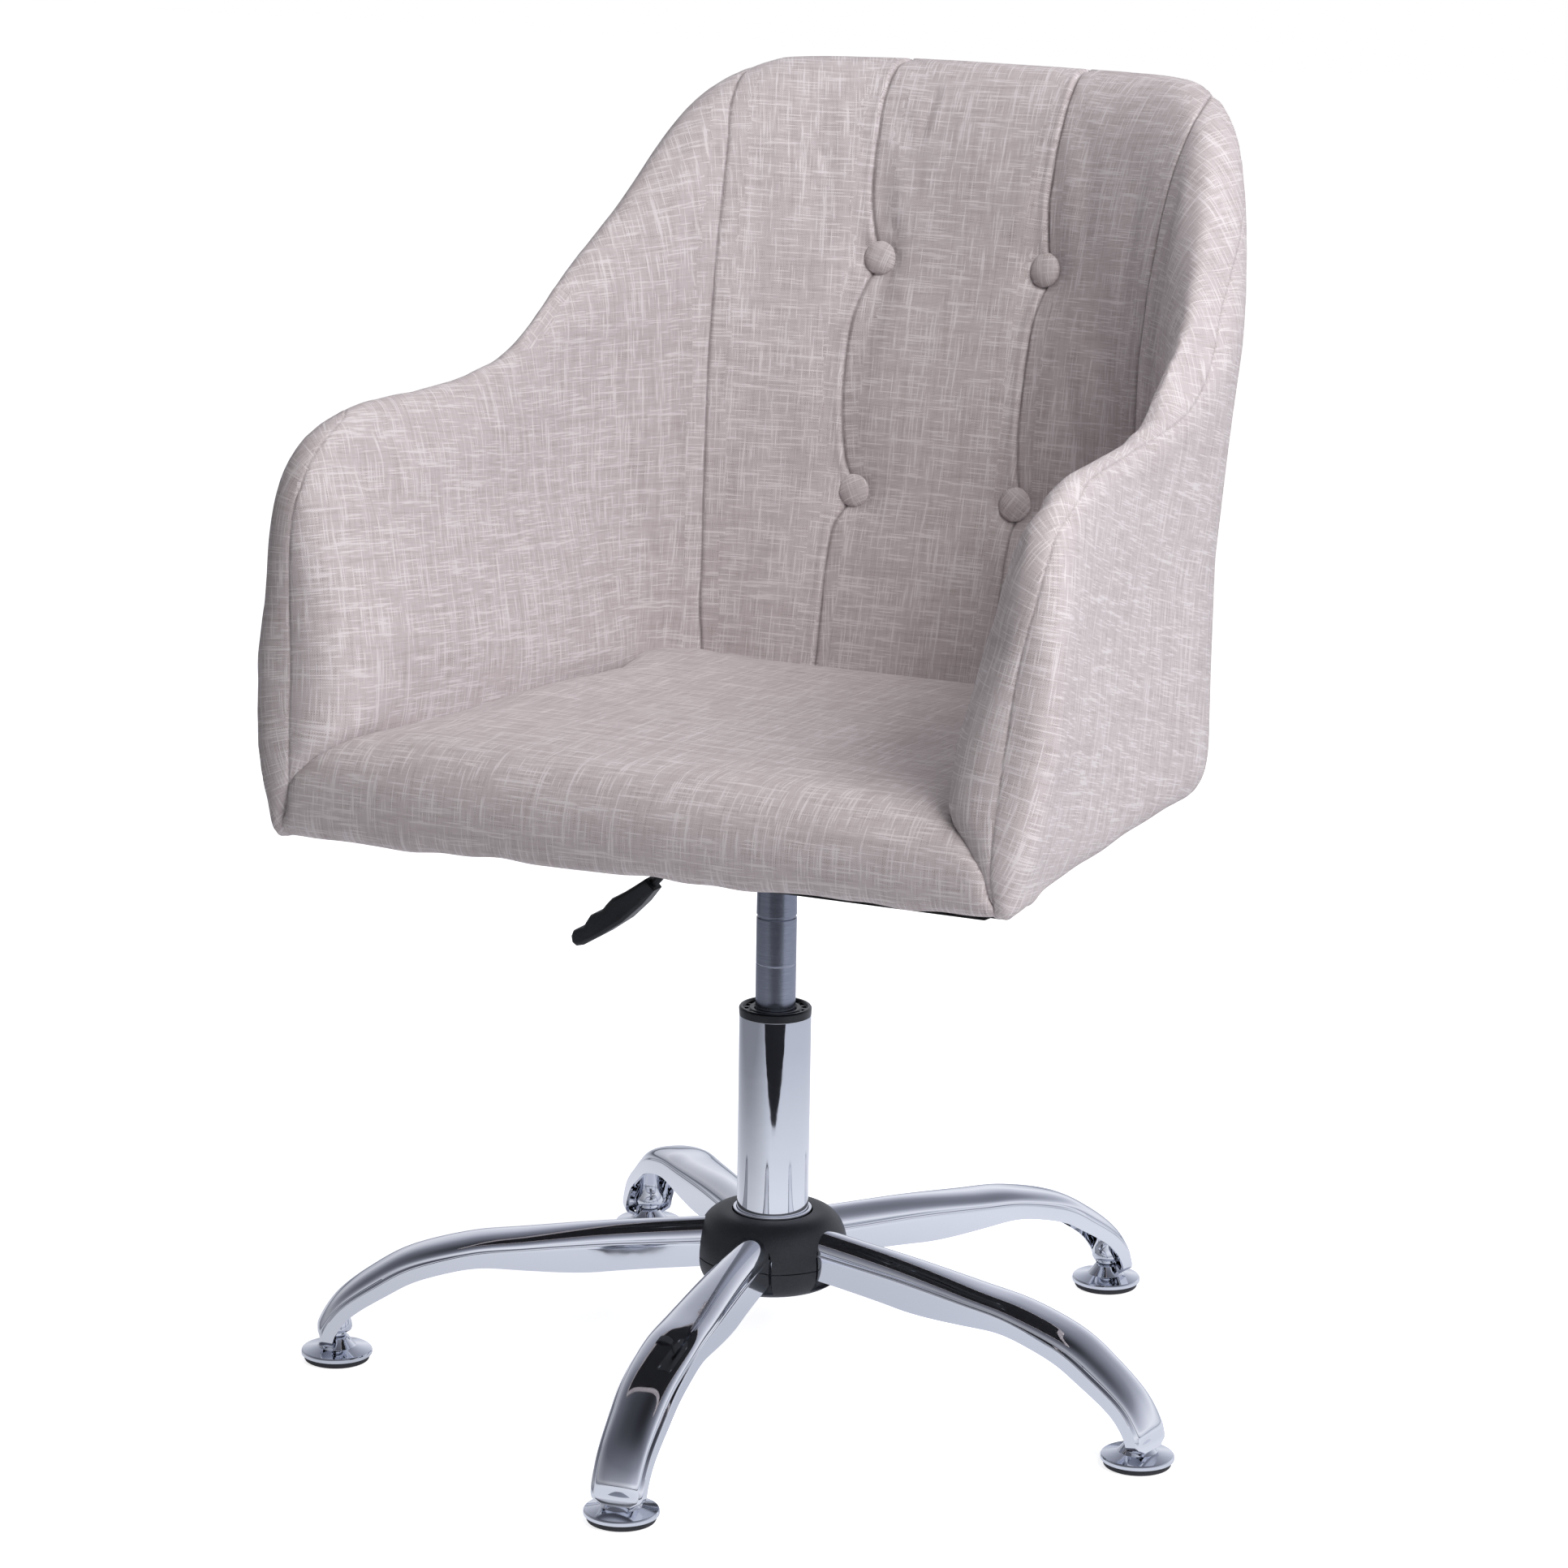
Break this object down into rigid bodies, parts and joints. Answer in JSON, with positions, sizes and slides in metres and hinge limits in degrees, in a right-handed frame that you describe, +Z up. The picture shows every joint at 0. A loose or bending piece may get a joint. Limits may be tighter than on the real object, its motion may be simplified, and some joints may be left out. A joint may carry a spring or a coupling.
{
  "type": "swivel tub chair",
  "caption": "Upholstered swivel tub chair with a buttoned raked back and sloping arms, on a star base with domed legs, turning glides and a gas lift worked by a side lever.",
  "frame": {"origin": "middle of the bounding box on the floor, with the seat at the top of its travel; the swivel axis stands at x -0.011, y -0.029", "axes": "+Z up, the sitter faces -Y, +X is to the sitter's left"},
  "size_m": [0.6276, 0.716, 0.8842],
  "materials": {
    "chrome_steel": "polished chrome plate on pressed and drawn steel",
    "satin_steel": "satin, blue grey",
    "plain_steel": "plain ground or zinc plated",
    "black_steel": "black powder coat",
    "black_plastic": "moulded, fine matt texture",
    "grey_rubber": "matt",
    "linen_fabric": "greige linen look weave over foam, mixed light and dark threads",
    "plywood": "bare beech plywood",
    "black_felt": "black non-woven lining"
  },
  "bodies": {
    "base": {"leg_1": "chrome_steel", "leg_socket_1": "chrome_steel", "leg_2": "chrome_steel", "leg_socket_2": "chrome_steel", "leg_3": "chrome_steel", "leg_socket_3": "chrome_steel", "leg_4": "chrome_steel", "leg_socket_4": "chrome_steel", "leg_5": "chrome_steel", "leg_socket_5": "chrome_steel", "hub_tube": "chrome_steel", "hub_cover_upper": "black_plastic", "hub_cover_lower": "black_plastic", "column_tube": "chrome_steel", "guide_bush": "black_plastic", "column_end_disc": "plain_steel", "bearing_washer_lower": "plain_steel", "bearing_cage": "satin_steel"},
    "lift_rod": {"piston_rod": "plain_steel", "piston": "satin_steel", "retaining_clip": "plain_steel", "bearing_washer_upper": "plain_steel", "rubber_buffer": "grey_rubber"},
    "seat": {"gas_cylinder": "satin_steel", "mounting_plate": "black_steel", "taper_socket": "black_steel", "lever_pivot_pin": "plain_steel", "seat_bolt_1": "plain_steel", "seat_bolt_2": "plain_steel", "seat_bolt_3": "plain_steel", "seat_bolt_4": "plain_steel", "tub_frame": "plywood", "seat_board": "plywood", "tub_upholstery": "linen_fabric", "dust_cover": "black_felt", "seat_cushion": "linen_fabric", "back_button_1": "linen_fabric", "back_button_2": "linen_fabric", "back_button_3": "linen_fabric", "back_button_4": "linen_fabric"},
    "lever": {"lever_rod": "black_steel", "lever_handle": "black_plastic"},
    "valve_pin": {"release_pin": "plain_steel"},
    "glide_1": {"glide_stem_1": "chrome_steel", "glide_disc_1": "chrome_steel", "glide_pad_1": "grey_rubber"},
    "glide_2": {"glide_stem_2": "chrome_steel", "glide_disc_2": "chrome_steel", "glide_pad_2": "grey_rubber"},
    "glide_3": {"glide_stem_3": "chrome_steel", "glide_disc_3": "chrome_steel", "glide_pad_3": "grey_rubber"},
    "glide_4": {"glide_stem_4": "chrome_steel", "glide_disc_4": "chrome_steel", "glide_pad_4": "grey_rubber"},
    "glide_5": {"glide_stem_5": "chrome_steel", "glide_disc_5": "chrome_steel", "glide_pad_5": "grey_rubber"}
  },
  "joints": [
    {"name": "swivel", "type": "hinge", "parent": "base", "child": "lift_rod", "pos_m": [-0.011, -0.029, 0.07], "axis": [0, 0, 1], "continuous": true},
    {"name": "height", "type": "slide", "parent": "lift_rod", "child": "seat", "axis": [0, 0, 1], "range_m": [-0.085, 0]},
    {"name": "lever_lift", "type": "hinge", "parent": "seat", "child": "lever", "pos_m": [-0.033, -0.029, 0.3945], "axis": [0, 1, 0], "range_deg": [0, 8], "stiffness_Nm_per_rad": 1.5, "springref_deg": -5.73},
    {"name": "valve_press", "type": "slide", "parent": "seat", "child": "valve_pin", "axis": [0, 0, -1], "range_m": [0, 0.0034]},
    {"name": "glide_turn_1", "type": "hinge", "parent": "base", "child": "glide_1", "pos_m": [0.13777, 0.23829, 0.02], "axis": [0, 0, 1], "continuous": true},
    {"name": "glide_turn_2", "type": "hinge", "parent": "base", "child": "glide_2", "pos_m": [-0.21923, 0.19508, 0.02], "axis": [0, 0, 1], "continuous": true},
    {"name": "glide_turn_3", "type": "hinge", "parent": "base", "child": "glide_3", "pos_m": [-0.28846, -0.15779, 0.02], "axis": [0, 0, 1], "continuous": true},
    {"name": "glide_turn_4", "type": "hinge", "parent": "base", "child": "glide_4", "pos_m": [0.02575, -0.33268, 0.02], "axis": [0, 0, 1], "continuous": true},
    {"name": "glide_turn_5", "type": "hinge", "parent": "base", "child": "glide_5", "pos_m": [0.28918, -0.08789, 0.02], "axis": [0, 0, 1], "continuous": true}
  ],
  "couplings": [
    {"joint": "valve_press", "follows": "lever_lift", "m_per_rad": 0.02435}
  ]
}
